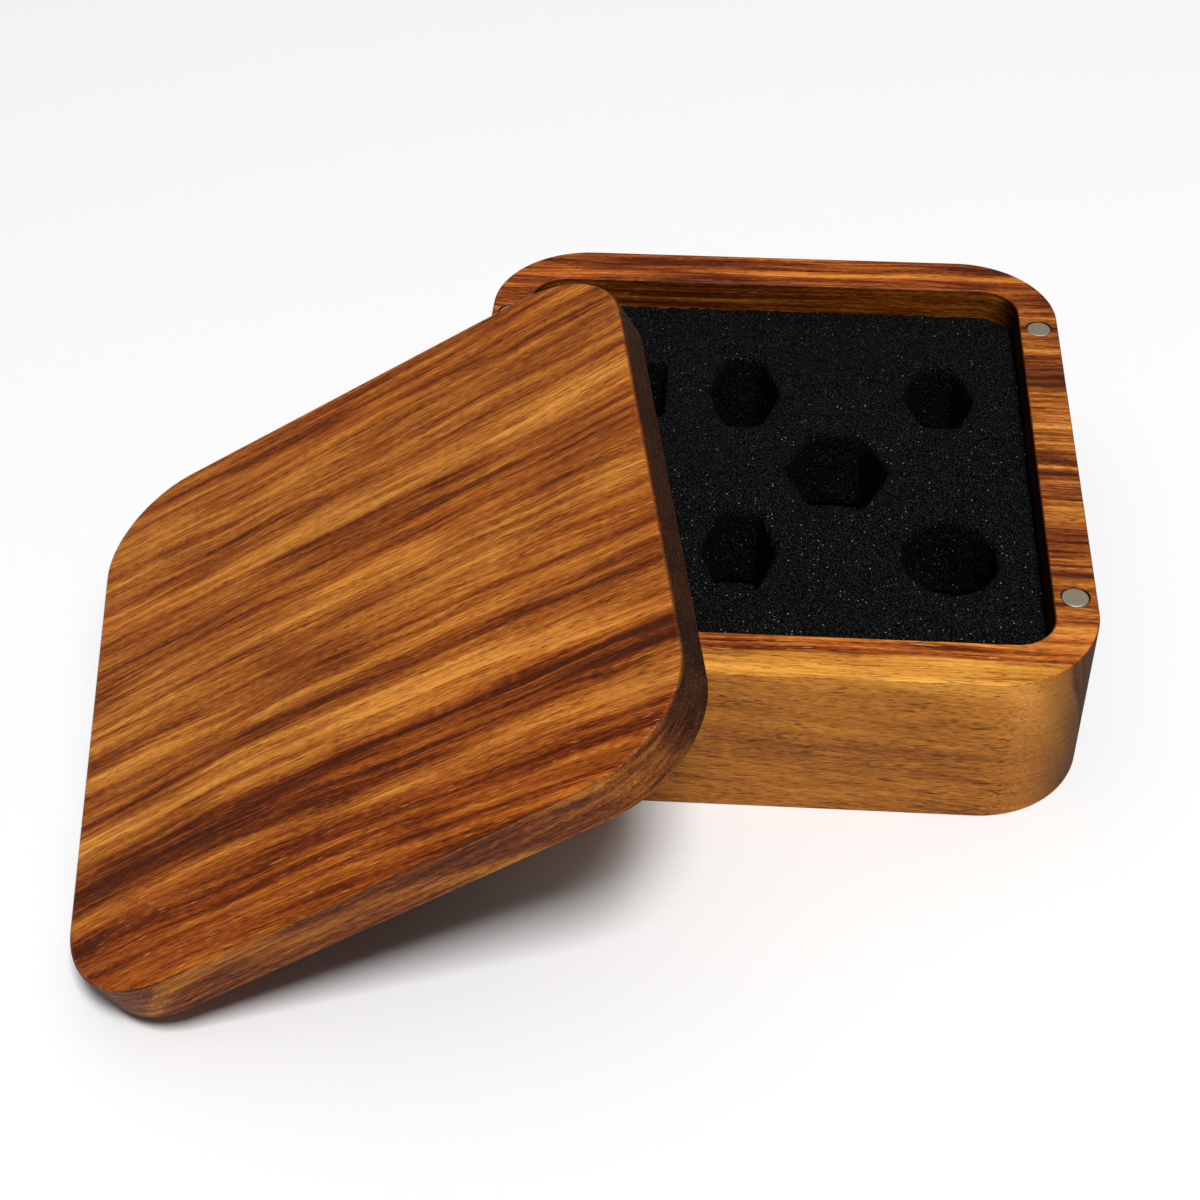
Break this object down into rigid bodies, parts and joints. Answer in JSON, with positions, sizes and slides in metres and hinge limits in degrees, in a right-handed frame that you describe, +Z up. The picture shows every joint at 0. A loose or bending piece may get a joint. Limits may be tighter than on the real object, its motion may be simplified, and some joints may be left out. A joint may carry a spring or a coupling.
{
  "type": "dice case",
  "caption": "Solid wood case with a die-cut foam tray for a set of polyhedral dice and a lift-off lid held by magnets, shown open with the lid leaning on the base.",
  "frame": {"origin": "middle of the flat underside of the base", "axes": "+Z up, +X to the right along the grain of the base, -Y towards the front, with the lid leaning on the -X side"},
  "size_m": [0.1904, 0.1893, 0.0638],
  "materials": {
    "oiled_wood": "satin oil on a strongly striped hardwood",
    "foam": "black open-cell foam, matt with fine cells",
    "nickel": "nickel plate, fine satin"
  },
  "bodies": {
    "base": {"base_body": "oiled_wood", "foam_insert": "foam", "foam_floor_pad": "foam", "base_magnet_1": "nickel", "base_magnet_2": "nickel", "base_magnet_3": "nickel", "base_magnet_4": "nickel"},
    "lid": {"lid_body": "oiled_wood", "lid_foam_liner": "foam", "lid_magnet_1": "nickel", "lid_magnet_2": "nickel", "lid_magnet_3": "nickel", "lid_magnet_4": "nickel"}
  },
  "joints": [
    {"name": "lid_lift", "type": "slide", "parent": "base", "child": "lid", "axis": [0, 0, 1], "range_m": [0, 0.08]}
  ]
}
